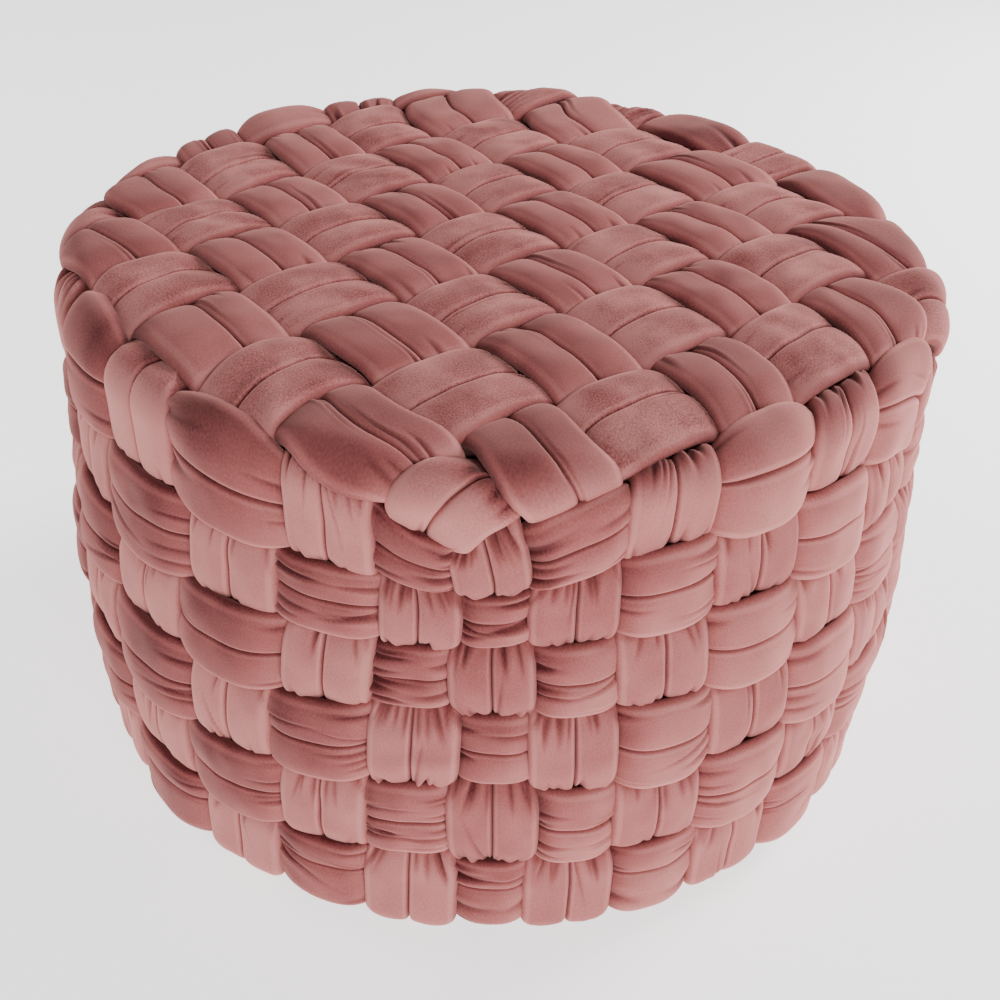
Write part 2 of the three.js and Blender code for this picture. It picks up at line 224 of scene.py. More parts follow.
class Strand:
    """One casing with its crossings in order, and the path through them."""

    def __init__(self, family, number, closed):
        self.family = family
        self.name = f"{family}_{number}"
        self.closed = closed
        self.crossings = []

    def lay(self):
        """Work out the path's points and the real distances between them."""
        places = [crossing.place for crossing in self.crossings]
        if not self.closed:
            first, last = self.crossings[0].azimuth, self.crossings[-1].azimuth
            places = [spread(TAIL_END, first), *places, spread(TAIL_END, last)]
        self.path = np.array(places)
        points = on_pouf(self.path, MIDDLE_DEPTH)
        self.gaps = np.linalg.norm(np.roll(points, -1, axis=0) - points, axis=-1)

    def number_of(self, crossing):
        """The number that a crossing has on the path. An open strand's path starts at its tail."""
        return self.crossings.index(crossing) + (0 if self.closed else 1)

    def at(self, number):
        """Places on the path, where a whole number is a crossing (Catmull-Rom)."""
        count = len(self.path)
        first = np.floor(number).astype(int)
        if self.closed:
            around = [self.path[(first + step) % count] for step in (-1, 0, 1, 2)]
        else:
            first = np.clip(first, 0, count - 2)
            before = 2 * self.path[0] - self.path[1]
            beyond = 2 * self.path[-1] - self.path[-2]
            padded = np.vstack([before, self.path, beyond])
            around = [padded[first + step] for step in range(4)]
        a, b, c, d = around
        part = (number - first)[..., None]
        cubic = (3 * b - a - 3 * c + d) * part
        return 0.5 * (2 * b + part * (c - a + part * (2 * a - 5 * b + 4 * c - d + cubic)))

    def gap(self, number, end):
        """The distance from a crossing to the one before it, at end -1, or after it, at end 1."""
        return self.gaps[(number if end > 0 else number - 1) % len(self.gaps)]

    def shift(self, number, distance):
        """The path number at a distance from a crossing."""
        return number + distance / np.where(distance < 0, self.gap(number, -1), self.gap(number, 1))


class Crossing:
    """A place where one strand lies over another. On the side it has an azimuth, in radians."""

    def __init__(self, place, upper, lower, azimuth=None):
        self.place = place
        self.upper = upper
        self.lower = lower
        self.azimuth = azimuth


def degrees_between(first, second):
    """The angle between two azimuths in degrees."""
    return abs((first - second + 180) % 360 - 180)


def corner_distance(azimuth):
    """Degrees to the nearest of the four corners of the square top weave."""
    return min(degrees_between(azimuth, corner) for corner in CORNERS.values())


def ring_reach(ring, azimuth):
    """A ring runs lower at the corners of the top weave, and a little on the left side."""
    dip = ring["dip"] * math.exp(-((corner_distance(azimuth) / DIP_SPREAD) ** 2))
    sag = ring["sag"] * math.exp(-((degrees_between(azimuth, SAG_CENTRE) / SAG_SPREAD) ** 4))
    return ring["reach"] + dip + sag


def top_place(row, column):
    """Where strand row of the crosswise ones meets strand column of the lengthwise ones."""
    ends = {0: "front", len(CROSSWISE) - 1: "back"}
    sides = {0: "left", len(LENGTHWISE) - 1: "right"}
    if row in ends and column in sides:
        corner = CORNERS[f"{ends[row]}_{sides[column]}"]
        return spread(CORNER_REACH, math.radians(corner))
    x = np.interp(row, KNOWN_ROWS, LENGTHWISE[column]["x"])
    y = CROSSWISE[row]["y"]
    if row in ends:
        return np.array([x, y * (1 - BOW * (x / BOW_SPAN) ** 2)])
    return np.array([x, y - SLANT * x])


across = [Strand("across", index + 1, False) for index in range(len(CROSSWISE))]
along = [Strand("along", index + 1, False) for index in range(len(LENGTHWISE))]
rings = [Strand("ring", index + 1, True) for index in range(len(RINGS))]


def side_crossings(strand, ends, ring_first):
    """The crossings of one strand end with the rings, from the rim down to the foot."""
    result = []
    for index, ring in enumerate(RINGS):
        share = max(0, index - 1) / (len(RINGS) - 2)
        azimuth = ends[0] + (ends[1] - ends[0]) * share
        pair = [rings[index], strand] if (index % 2 == 0) == ring_first else [strand, rings[index]]
        angle = math.radians(azimuth)
        crossing = Crossing(spread(ring_reach(ring, azimuth), angle), *pair, angle)
        rings[index].crossings.append(crossing)
        result.append(crossing)
    return result


def weave():
    """Cross all strands with one another and lay their paths."""
    grid = [[None] * len(along) for _ in across]
    for row, crosswise in enumerate(across):
        for column, lengthwise in enumerate(along):
            pair = (crosswise, lengthwise) if (row + column) % 2 == 0 else (lengthwise, crosswise)
            grid[row][column] = Crossing(top_place(row, column), *pair)
    for row, strand in enumerate(across):
        left = side_crossings(strand, CROSSWISE[row]["left"], row % 2 == 0)
        right = side_crossings(strand, CROSSWISE[row]["right"], row % 2 == 0)
        strand.crossings = [*reversed(left), *grid[row], *right]
    for column, strand in enumerate(along):
        front = side_crossings(strand, LENGTHWISE[column]["front"], column % 2 == 1)
        back = side_crossings(strand, LENGTHWISE[column]["back"], column % 2 == 1)
        middle = [grid[row][column] for row in range(len(across))]
        strand.crossings = [*reversed(front), *middle, *back]
    for ring in rings:
        ring.crossings.sort(key=lambda crossing: crossing.azimuth)
    for strand in (*across, *along, *rings):
        strand.lay()


weave()

# Velvet strands. Each is one long casing of brushed polyester velvet, stuffed with fibre and
# sewn through along its middle, so it shows two plump channels with a crisp seam between them.
# It shows as a row of cells, and between them it tucks in under the strands that cross it.
ON_TOP = {
    "across": {"width": 1.0, "arch": 8.0, "taper": 0.15},
    "along": {"width": 0.95, "arch": 6.0, "taper": 0.3},
}
ON_SIDE = {
    "column": {"width": 0.4, "arch": 3.5, "taper": 0.4},
    "ring": {"width": 1.17, "arch": 9.5, "taper": 0.1},
}
AT_CORNER = {
    "column": {"width": 0.22, "arch": 8.0, "taper": 0.2},
    "ring": {"width": 0.92, "arch": 5.0, "taper": 0.4},
}
CORNER_SPREAD = 19.0
CORNER_CELL_WIDTH = 0.94
COLUMN_LEAST_WIDTH = 32.0
COLUMN_GROWTH = 12.0
CROWN_SINK = 0.7
UNEVEN_WIDTH = 0.03
UNEVEN_CROWN = 1.2
CELL_SEED = 50


def is_top_corner(crossing):
    """Whether it is one of the four corners of the square top weave."""
    return crossing.azimuth is None and reach_of(crossing.place) >= CORNER_REACH


def nearness_to_corner(crossing):
    """From 0 to 1. On the top only the four corner crossings are near."""
    if crossing.azimuth is None:
        return 1 if is_top_corner(crossing) else 0
    return math.exp(-((corner_distance(math.degrees(crossing.azimuth)) / CORNER_SPREAD) ** 2))


def crossing_shape(crossing, name):
    """The upper strand's width as a share of its room, how high it arches, or where it starts to
    narrow. On the side the rings are the fuller ones, but at the corners the crowded columns."""
    family = crossing.upper.family
    if crossing.azimuth is None:
        share = CORNER_CELL_WIDTH if is_top_corner(crossing) and name == "width" else 1
        return ON_TOP[family][name] * share
    kind = "ring" if family == "ring" else "column"
    near = nearness_to_corner(crossing)
    return ON_SIDE[kind][name] * (1 - near) + AT_CORNER[kind][name] * near


def settle_crossings():
    """Give every crossing its upper strand's half widths, towards the lower strand's earlier and
    later crossings, how high it arches and how deep its crown lies."""
    generator = np.random.default_rng(CELL_SEED)
    highest = max(ON_SIDE["ring"]["arch"], AT_CORNER["column"]["arch"])
    for strand in (*across, *along, *rings):
        for crossing in strand.crossings:
            if crossing.lower is not strand:
                continue
            number = strand.number_of(crossing)
            uneven = 1 + generator.uniform(-UNEVEN_WIDTH, UNEVEN_WIDTH, 2)
            room = np.array([strand.gap(number, -1), strand.gap(number, 1)])
            least = 0
            if crossing.azimuth is not None and not crossing.upper.closed:
                height_share = rings.index(strand) / (len(rings) - 1)
                least = COLUMN_LEAST_WIDTH + COLUMN_GROWTH * height_share * nearness_to_corner(crossing)
            crossing.halves = (room * crossing_shape(crossing, "width") + least) / 2 * uneven
            crossing.arch = crossing_shape(crossing, "arch")
            sink = CROWN_SINK * (highest - crossing.arch) + generator.uniform(0, UNEVEN_CROWN)
            crossing.crown = sink if crossing.azimuth is not None else generator.uniform(0, UNEVEN_CROWN)


settle_crossings()

# The casing's cross-sections. Two channels bulge beside the seam, and the edges roll under. The
# sections lie closest together at a cell's ends. Past the foot a strand runs on as a narrower
# tail, and it ends beside the drum's base.
THICKNESS = 22.0
CHANNEL_RISE = 1.6
SEAM_DEPTH = 4.2
SEAM_WIDTH = 0.75
SEAM_SHARE = 0.12
SEAM_CROWDING = 1.4
EDGE_SHARE = 0.8
EDGE_DROP = 5.0
EDGE_POWER = 9.0
BELLY_SHARE = 0.55
SEAM_COLUMNS = 5
CHANNEL_COLUMNS = 20
EDGE_COLUMNS = 7
OVER_SPAN = 0.62
OVER_ROWS = 26
END_CROWDING = 0.3
UNDER_ROWS = 5
TAIL_ROWS = 8
TAIL_SHOWN = 0.8
TAIL_WIDTH = 0.75
TAIL_NARROWING = (0.3, 0.9)
TUCKED_WIDTH = 0.94
TURN_SPAN = (0.1, 0.9)
TUCK = 21.0
PRESS = 1.5
ARCH_POWER = 3.0
DIVE_LENGTH = 5.0
CROWN_FADE = (0.5, 1)


def section_template():
    """Shares of the half width once round a section, and which of them are on the belly."""
    seam = SEAM_SHARE * np.linspace(0, 1, SEAM_COLUMNS, endpoint=False) ** SEAM_CROWDING
    channel = np.linspace(SEAM_SHARE, EDGE_SHARE, CHANNEL_COLUMNS, endpoint=False)
    roll = np.sin(math.pi / 2 * np.linspace(0, 1, EDGE_COLUMNS))
    half = np.concatenate([seam, channel, EDGE_SHARE + (1 - EDGE_SHARE) * roll])
    top = np.concatenate([-half[:0:-1], half])
    shares = np.concatenate([top, [BELLY_SHARE, 0, -BELLY_SHARE]])
    return shares, np.arange(len(shares)) >= len(top)


SHARES, IS_BELLY = section_template()
FROM_SEAM = np.abs(SHARES)[None, :]


def section_numbers(strand):
    """Path numbers of a strand's cross-sections, closest together where a strand tucks in."""
    even = np.linspace(-1, 1, OVER_ROWS)
    over = OVER_SPAN * ((1 - END_CROWDING) * even + END_CROWDING * np.sin(math.pi / 2 * even))
    room = 1 - OVER_SPAN
    under = np.linspace(-room, room, UNDER_ROWS + 2)[1:-1]
    numbers = []
    for crossing in strand.crossings:
        steps = over if crossing.upper is strand else under
        numbers.append(strand.number_of(crossing) + steps)
    if not strand.closed:
        first_is_over = strand.crossings[0].upper is strand
        last_is_over = strand.crossings[-1].upper is strand
        last = len(strand.path) - 1
        start = 1 - (OVER_SPAN if first_is_over else room)
        end = last - 1 + (OVER_SPAN if last_is_over else room)
        numbers.insert(0, np.linspace(0, start, TAIL_ROWS, endpoint=False))
        numbers.append(np.linspace(end, last, TAIL_ROWS + 1)[1:])
    return np.concatenate(numbers)


def crossings_beside(strand, numbers):
    """For each section: the crossings before and after it and how far along it lies."""
    part = numbers - np.floor(numbers)
    if strand.closed:
        count = len(strand.path)
        before = np.floor(numbers).astype(int) % count
        return before, (before + 1) % count, part
    index = np.floor(numbers).astype(int) - 1
    last = len(strand.crossings) - 1
    part = np.where(index < 0, 0, np.where(index >= last, 1, part))
    after = np.clip(index + 1, 0, last)
    return np.clip(index, 0, last), np.where(index < 0, 0, after), part


class Sections:
    """A strand's cross-sections in order. Each has its number on the path, the crossings before
    and after it, the cell that it belongs to, and how far it lies from that cell's crossing."""

    def __init__(self, strand):
        self.strand = strand
        self.numbers = section_numbers(strand)
        self.before, self.after, self.part = crossings_beside(strand, self.numbers)
        self.gaps = strand.gaps[np.floor(self.numbers).astype(int) % len(strand.gaps)]
        is_over = np.array([crossing.upper is strand for crossing in strand.crossings])
        over_first = is_over[self.before]
        self.cell = np.where(over_first, self.before, self.after)
        self.beside = np.where(over_first, self.after, self.before)
        self.is_over = is_over[self.cell]
        self.end = np.where(over_first, 1, -1)
        self.tail_part = np.full(len(self.numbers), -1.0)
        if not strand.closed:
            last = len(strand.path) - 2
            self.tail_part = np.maximum(1 - self.numbers, self.numbers - last)
            self.end = np.where(self.numbers < 1, -1, np.where(self.numbers > last, 1, self.end))
        self.in_tail = self.tail_part >= 0
        from_cell = np.where(over_first, self.part, 1 - self.part)
        self.from_cell = np.where(self.in_tail, np.where(over_first, self.tail_part, 1), from_cell)

    def of_cell(self, values):
        """Each section's own value, from a list with one value for each crossing."""
        return np.array(values)[self.cell]


def side_by_side(strand, crossing):
    """The strand crossed, its number there, and whether it runs to this strand's left."""
    other = crossing.lower if crossing.upper is strand else crossing.upper
    number = strand.number_of(crossing)
    other_number = other.number_of(crossing)
    step = 0.01
    heading = strand.at(np.array(number + step)) - strand.at(np.array(number - step))
    passing = other.at(np.array(other_number + step)) - other.at(np.array(other_number - step))
    sign = 1 if heading[0] * passing[1] - heading[1] * passing[0] > 0 else -1
    return other, other_number, sign


def half_widths(strand, crossing):
    """A strand's half widths at a crossing, to its left and to its right."""
    other, other_number, sign = side_by_side(strand, crossing)
    if crossing.upper is strand:
        before, after = crossing.halves
    else:
        before = other.gap(other_number, -1) * TUCKED_WIDTH / 2
        after = other.gap(other_number, 1) * TUCKED_WIDTH / 2
    return (after, before) if sign > 0 else (before, after)


def section_widths(sections):
    """The half widths of every section. A cell narrows towards the strand that it dives under."""
    crossings = sections.strand.crossings
    widths = np.array([half_widths(sections.strand, crossing) for crossing in crossings])
    taper = sections.of_cell([crossing_shape(crossing, "taper") for crossing in crossings])
    narrow = smooth(taper, 1, sections.from_cell)[:, None]
    width = widths[sections.cell] * (1 - narrow) + widths[sections.beside] * narrow
    tail_share = 1 - (1 - TAIL_WIDTH) * smooth(*TAIL_NARROWING, sections.tail_part)
    return np.where(sections.in_tail[:, None], widths[sections.before] * tail_share[:, None], width)


def places_near(strand, crossing, numbers, offsets):
    """Places beside a strand's path, following the strand that it crosses."""
    other, other_number, sign = side_by_side(strand, crossing)
    middle = strand.at(numbers)[:, None, :]
    beside = other.at(other.shift(other_number, sign * offsets))
    if crossing.azimuth is None:
        return middle + beside - crossing.place
    reach = reach_of(middle) + reach_of(beside) - reach_of(crossing.place)
    azimuth = azimuth_of(middle) + azimuth_of(beside) - crossing.azimuth
    return spread(reach, azimuth)


def section_places(sections, offsets):
    """The places of all points. The sections turn from one crossed strand's direction to the
    next one's."""
    turn = smooth(*TURN_SPAN, sections.part)
    at_end = sections.before == sections.after
    towards_before = (sections.before, np.where(at_end, 1, 1 - turn))
    towards_after = (sections.after, np.where(at_end, 0, turn))
    places = np.zeros((*offsets.shape, 2))
    for index, crossing in enumerate(sections.strand.crossings):
        for which, share in (towards_before, towards_after):
            rows = np.where((which == index) & (share > 0))[0]
            if len(rows) > 0:
                near = places_near(sections.strand, crossing, sections.numbers[rows], offsets[rows])
                places[rows] += near * share[rows][:, None, None]
    return places


def shown_length(strand, index, end):
    """How far a cell runs level from its crossing: a little past the edge of the strand that
    covers it, because the two press against each other."""
    crossings = strand.crossings
    gap = strand.gap(strand.number_of(crossings[index]), end)
    beside = (index + end) % len(crossings) if strand.closed else index + end
    if beside < 0 or beside >= len(crossings):
        return gap * TAIL_SHOWN
    return gap - crossings[beside].halves[0 if end > 0 else 1] + PRESS


def section_drops(sections):
    """How far each section has dropped below the hull. A strand arches while it shows, and then
    dives under its neighbour."""
    crossings = sections.strand.crossings
    shown = np.array([
        shown_length(sections.strand, cell, end) if is_over else 1.0
        for cell, end, is_over in zip(sections.cell, sections.end, sections.is_over)
    ])
    arch = sections.of_cell([crossing.arch for crossing in crossings])
    crown = sections.of_cell([crossing.crown for crossing in crossings])
    distance = sections.from_cell * sections.gaps
    arching = arch * (np.minimum(distance, shown) / shown) ** ARCH_POWER
    diving = (TUCK - arch) * (1 - np.exp(-np.maximum(distance - shown, 0) / DIVE_LENGTH))
    return arching + diving + crown * (1 - smooth(*CROWN_FADE, sections.from_cell))


# The pinch folds. Where a strand tucks in under its neighbour the velvet gathers into short folds
# that fan out from there, more of them where strands crowd together. A few folds run beside the
# seam through most of a cell. The stuffing between is soft and uneven.
STRAND_WIDTH = 62.0
CORNER_CROWDING = 0.5
CORNER_LENGTHENING = 0.8
CORNER_DEEPENING = 0.5
FOLDS = {
    "top": {
        "count": 0.6, "crowded": 3.0, "length": (0.3, 0.7), "depth": (0.5, 1.2), "lean": (-0.1, 0.3),
        "long_chance": 0.35, "long_depth": 1.0,
    },
    "column": {
        "count": 0.9, "crowded": 4.0, "length": (0.45, 1.0), "depth": (1.6, 3.6), "lean": (0.0, 0.7),
        "long_chance": 0.3, "long_depth": 1.6,
    },
    "ring": {
        "count": 1.2, "crowded": 2.0, "length": (0.35, 0.95), "depth": (0.9, 2.3), "lean": (-0.1, 0.2),
        "long_chance": 0.3, "long_depth": 1.6,
    },
}
FOLD_WIDTH = (1.2, 2.4)
FIRST_FOLD = 0.06
FOLD_SPAN = 0.84
UNEVEN_COUNT = (0.6, 1.4)
SLACK_OR_TIGHT = [0.35, 1.3]
COLUMN_RIM_COUNT = 1.2
COLUMN_FOOT_COUNT = 0.8
SCALLOP = 0.55
LONG_FOLD = {"place": (0.08, 0.16), "length": 1.6, "width": 1.1, "lean": (0.03, 0.35)}
FOLD_ROWS = (-0.9, 1)
FOLD_FADE = (1, 5)
FOLD_START = -0.1
FOLD_NARROWING = 0.45
FOLD_POWER = 1.4
RIDGE = {"height": 0.45, "away": 2, "width": 1.5}
# Where and how strongly a fold's crease is painted with shade.
CREASE_START = 0.3
CREASE_WIDTH = 0.8
CREASE_SHADE = 0.8
LUMP = 0.45
LUMP_LENGTH = 30.0
LUMP_SPREAD = (0.6, 1.7)
LUMP_WAVES = 7
EVEN_EDGE_POWER = 8


def crowding_at(strand, crossing):
    """How much wider a strand would be than the room that it has at a crossing."""
    other, other_number, _ = side_by_side(strand, crossing)
    room = (other.gap(other_number, -1) + other.gap(other_number, 1)) / 2
    return max(0, STRAND_WIDTH / room - 1)


def long_fold(generator, kind, shown):
    """A fold beside the seam that runs through most of a cell."""
    side = generator.choice([-1, 1])
    share = side * generator.uniform(*LONG_FOLD["place"])
    lean = LONG_FOLD["lean"][0] if kind == "top" else generator.uniform(*LONG_FOLD["lean"])
    return {
        "share": share,
        "length": shown * LONG_FOLD["length"],
        "depth": FOLDS[kind]["long_depth"],
        "width": LONG_FOLD["width"],
        "lean": side * lean,
        "side": side,
    }


def pinch_folds(generator, kind, crowding, corner, shown, is_foot_end):
    """The folds at one end of one cell, on both channels. Most cells have more at one end. A
    column is gathered at its upper end and only scalloped at its lower one."""
    form = FOLDS[kind]
    gathered = generator.choice(SLACK_OR_TIGHT)
    shortened = 1 + (CORNER_LENGTHENING * corner if kind == "ring" else 0)
    deepened = 1 + CORNER_DEEPENING * corner
    if kind == "column":
        gathered = COLUMN_FOOT_COUNT if is_foot_end else COLUMN_RIM_COUNT
        shortened = SCALLOP if is_foot_end else 1
    folds = []
    for channel in (-1, 1):
        wanted = (form["count"] + form["crowded"] * crowding) * gathered * generator.uniform(*UNEVEN_COUNT)
        for place in generator.uniform(0, 1, round(wanted)):
            share = channel * (FIRST_FOLD + FOLD_SPAN * place)
            folds.append({
                "share": share,
                "length": generator.uniform(*form["length"]) * shown * shortened,
                "depth": generator.uniform(*form["depth"]) * min(shortened, 1) * deepened,
                "width": generator.uniform(*FOLD_WIDTH),
                "lean": share * generator.uniform(*form["lean"]),
                "side": generator.choice([-1, 1]),
            })
    if generator.random() < form["long_chance"]:
        folds.append(long_fold(generator, kind, shown))
    return folds


def press_fold(fold, offsets, half, inward):
    """How deep a fold is, and how strongly its crease is painted with shade, at points that lie
    inward of the cell's end. It is widest and deepest where it comes out from under the neighbour,
    with a ridge beside it."""
    fade = 1 - smooth(*FOLD_FADE, -inward)
    middle = fold["share"] * half + fold["lean"] * inward
    narrowing = 1 - FOLD_NARROWING * np.clip(inward / fold["length"], 0, 1)
    away = (offsets - middle) / (fold["width"] * narrowing) * fold["side"]
    ramp = fade * (1 - smooth(FOLD_START * fold["length"], fold["length"], inward))
    ridge = RIDGE["height"] * np.exp(-(((away - RIDGE["away"]) / RIDGE["width"]) ** 2))
    depth = fold["depth"] * ramp * (np.exp(-np.abs(away) ** FOLD_POWER) - ridge)
    drawn = fade * (1 - smooth(CREASE_START * fold["length"], fold["length"], inward))
    return depth, drawn * np.exp(-((away / CREASE_WIDTH) ** 2))


def fold_depth(sections, generator, offsets, half):
    """How deep the pinch folds are at every point of a strand's top, and how strongly their
    creases are painted with shade."""
    strand = sections.strand
    depth = np.zeros(offsets.shape)
    crease = np.zeros(offsets.shape)
    for index, crossing in enumerate(strand.crossings):
        if crossing.upper is not strand:
            continue
        kind = "top"
        if crossing.azimuth is not None:
            kind = "ring" if strand.closed else "column"
        corner = nearness_to_corner(crossing)
        crowding = crowding_at(strand, crossing) + CORNER_CROWDING * corner
        number = strand.number_of(crossing)
        count = len(strand.gaps)
        for end in (-1, 1):
            shown = shown_length(strand, index, end)
            steps = (sections.numbers - number) * end
            if strand.closed:
                steps = (steps + count / 2) % count - count / 2
            rows = np.where((steps > FOLD_ROWS[0]) & (steps < FOLD_ROWS[1]))[0]
            inward = (shown - steps[rows] * strand.gap(number, end))[:, None]
            is_foot_end = (end > 0) == (index > len(strand.crossings) / 2)
            for fold in pinch_folds(generator, kind, crowding, corner, shown, is_foot_end):
                pressed, shaded = press_fold(fold, offsets[rows], half[rows][:, None], inward)
                depth[rows] += pressed
                crease[rows] += shaded
    return depth, crease


def lumps(generator, along_mm, across_mm):
    """Soft uneven stuffing: a few waves with seeded directions and phases."""
    total = np.zeros(np.broadcast(along_mm, across_mm).shape)
    for _ in range(LUMP_WAVES):
        angle = generator.uniform(0, math.pi)
        wave = 2 * math.pi / (LUMP_LENGTH * generator.uniform(*LUMP_SPREAD))
        phase = generator.uniform(0, 2 * math.pi)
        total += np.sin(wave * (along_mm * math.cos(angle) + across_mm * math.sin(angle)) + phase)
    return total / math.sqrt(LUMP_WAVES)


def strand_relief(sections, generator, run, offsets, half):
    """How far every point lies below its section's crown, and how strongly it is painted with
    shade in a crease.
    """
    channels = CHANNEL_RISE * (2 * FROM_SEAM - 1) ** 2
    edge = EDGE_DROP * (1 - (1 - FROM_SEAM ** EDGE_POWER) ** 0.5)
    seam = SEAM_DEPTH * np.exp(-(FROM_SEAM * half[:, None]) / SEAM_WIDTH)
    folds, fold_creases = fold_depth(sections, generator, offsets, half)
    stuffing = LUMP * lumps(generator, run[:, None], offsets)
    top = channels + edge + seam + (folds + stuffing) * (1 - FROM_SEAM ** EVEN_EDGE_POWER)
    # How strongly each point is painted with shade: in the seam, in the fold creases and on the rolled
    # edges.
    crease = seam / SEAM_DEPTH + CREASE_SHADE * fold_creases + (edge / EDGE_DROP) ** 2
    return np.where(IS_BELLY[None, :], THICKNESS, top), np.clip(crease, 0, 1)


# The velvet's nap, and the light and shade painted into its tone. The pile lies one way along the
# cloth, and a cell is painted paler where its strand runs from side to side or upright and deeper
# where it runs from front to back: painted highlight and shade for how the pile meets the light.
# Painted shade deepens it where it is gathered, along the rim and in creases, and thin painted
# highlights run beside seams and edges.
# Each family's base tone is painted light and shade: one velvet, painted paler or deeper by the way its
# strands run.
TONE = {"across": 0.6, "along": 0.42, "ring": 0.78}
UNEVEN_TONE = 0.05
# A ring is painted palest where it runs along this heading, and deeper with painted shade where it turns
# away.
LIT_HEADING = np.array([0.996, 0.087, 0.0])
RING_HEADING_SHADE = 0.6
# Painted shade across each ring cell, deeper towards one long edge.
RING_SHADE = 0.1
TOP_SLOPE_LIGHT_AND_SHADE = 0.65
STEEPEST_FALL = 0.35
SIDE_SLOPE_LIGHT = {"across": 0.26, "along": 0.3}
SIDE_FROM = (230, 300)
# Painted shade where the strands crowd together at the corners.
CROWDED_PAINTED_SHADE = 0.09
# Painted shade along the rim, where the strands run level.
RIM_PAINTED_SHADE = 0.1
RIM_FROM = (200, 245)
RIM_RISE = (0, 0.8)
# Painted shade in seams, fold creases and rolled edges.
CREASE_PAINTED_SHADE = 0.45
# Painted highlights in thin lines beside the seam and the edges.
EDGE_PAINTED_HIGHLIGHT = 0.3
HIGHLIGHT_LINES = [{"at": 0.88, "width": 0.05}, {"at": 0.07, "width": 0.03}]
BRUSHED_UNTIL = (215, 270)
BRUSHED_WIDTH = (0.84, 0.96)


def nap_tone_with_painted_light(sections, generator, points, reach):
    """How pale a strand is painted along its length: painted light and shade by its direction and
    by how it rises and falls, painted shade near the corners and along the rim, and an uneven tone
    for each cell.
    """
    strand = sections.strand
    line = points[:, points.shape[1] // 2]
    heading = np.gradient(line, axis=0)
    if strand.closed:
        heading[[0, -1]] = line[[1, 0]] - line[[-1, -2]]
    heading /= np.linalg.norm(heading, axis=-1)[:, None]
    uneven = generator.uniform(-UNEVEN_TONE, UNEVEN_TONE, len(strand.crossings))
    tone = TONE[strand.family] + sections.of_cell(uneven)
    if strand.closed:
        # Painted shade on a ring where it turns away from the lit heading.
        return tone + RING_HEADING_SHADE * (np.abs(heading @ LIT_HEADING) - 1)
    side = smooth(*SIDE_FROM, reach)
    rise = heading[:, 2]
    slope = np.maximum(rise, -STEEPEST_FALL)
    # Painted light and shade: the top paler where it rises and deeper where it falls, the side paler where
    # it is steep.
    tone = tone + (1 - side) * TOP_SLOPE_LIGHT_AND_SHADE * slope + side * SIDE_SLOPE_LIGHT[strand.family] * np.abs(rise)
    # Painted shade near the corners, on the side.
    crowded = sections.of_cell([nearness_to_corner(crossing) for crossing in strand.crossings])
    tone = tone - side * CROWDED_PAINTED_SHADE * crowded
    # Painted shade along the rim where the strand runs level.
    return tone - RIM_PAINTED_SHADE * smooth(*RIM_FROM, reach) * (1 - smooth(*RIM_RISE, np.abs(rise)))


def strand_tone(sections, generator, points, reach, crease):
    """The tone of every point of a strand, from 0, deep, to 1, pale, with painted shade in creases
    and on the rings, and painted highlights beside seams and edges.
    """
    # Painted highlight lines beside the seam and the edges.
    edge_highlight = sum(np.exp(-(((FROM_SEAM - edge["at"]) / edge["width"]) ** 2)) for edge in HIGHLIGHT_LINES)
    tone = nap_tone_with_painted_light(sections, generator, points, reach)[:, None]
    # Painted shade in the creases, and the painted highlight lines beside seams and edges.
    tone = tone - CREASE_PAINTED_SHADE * crease + EDGE_PAINTED_HIGHLIGHT * edge_highlight
    # Painted shade on the rings, deeper towards one long edge of each cell.
    if sections.strand.closed:
        tone = tone - RING_SHADE * SHARES[None, :]
    return tone


def brushed_share(strand, reach):
    """Where the pile is brushed against the nap: on the crosswise cells of the top, apart from
    their rolled edges."""
    brushed = (1 - smooth(*BRUSHED_UNTIL, reach)) if strand.family == "across" else np.zeros(len(reach))
    return brushed[:, None] * (1 - smooth(*BRUSHED_WIDTH, FROM_SEAM))


# The cloth and the strands made of it. All twenty are cut from one velvet. Its short dense pile
# is deep in colour seen into the pile and paler at grazing angles: the sheen gives the pale bloom,
# and the tone paints more shade and highlights into the colour. Where it was stroked against the
# nap it is mottled. The pile is drawn coarser than the real one, to show.
# The tone runs through these roses: painted shade reaches towards the deep one and painted highlights
# towards the pale one.
DEEP_ROSE = "#4e1a1f"
DUSTY_ROSE = "#9b5654"
PALE_ROSE = "#c07b77"
SHEEN_ROSE = "#f0aca4"
DUSTY_TONE = 0.55
PATCHES = {"size": 31.25, "detail": 4.0, "smooth": 0.55, "raised": 1.25}
PILE = {"size": 10 / 9.5, "detail": 2.0, "smooth": 0.45, "raised": 0.95}
PILE_HEIGHT = 0.4
FLOOR_CLEARANCE = 0.5
STRAND_SEEDS = {"across": 100, "along": 200, "ring": 300}


def linear(hex_colour):
    """An sRGB hex value as a linear colour."""
    parts = [int(hex_colour[place:place + 2], 16) / 255 for place in (1, 3, 5)]
    return [part / 12.92 if part < 0.04045 else ((part + 0.055) / 1.055) ** 2.4 for part in parts] + [1]


def new_material(name):
    """A new material, with its node tree and the node of its surface."""
    material = bpy.data.materials.new(name)
    material.use_nodes = True
    return material, material.node_tree, material.node_tree.nodes["Principled BSDF"]


def set_inputs(tree, node, inputs):
    """Set a node's inputs. Each is a value, or another node's output to link to it."""
    for name, value in inputs.items():
        if isinstance(value, bpy.types.NodeSocket):
            tree.links.new(value, node.inputs[name])
        else:
            node.inputs[name].default_value = value


def add_node(tree, kind, inputs=None, **settings):
    """Add one node with its settings and its inputs."""
    node = tree.nodes.new(kind)
    for name, value in settings.items():
        setattr(node, name, value)
    set_inputs(tree, node, inputs or {})
    return node


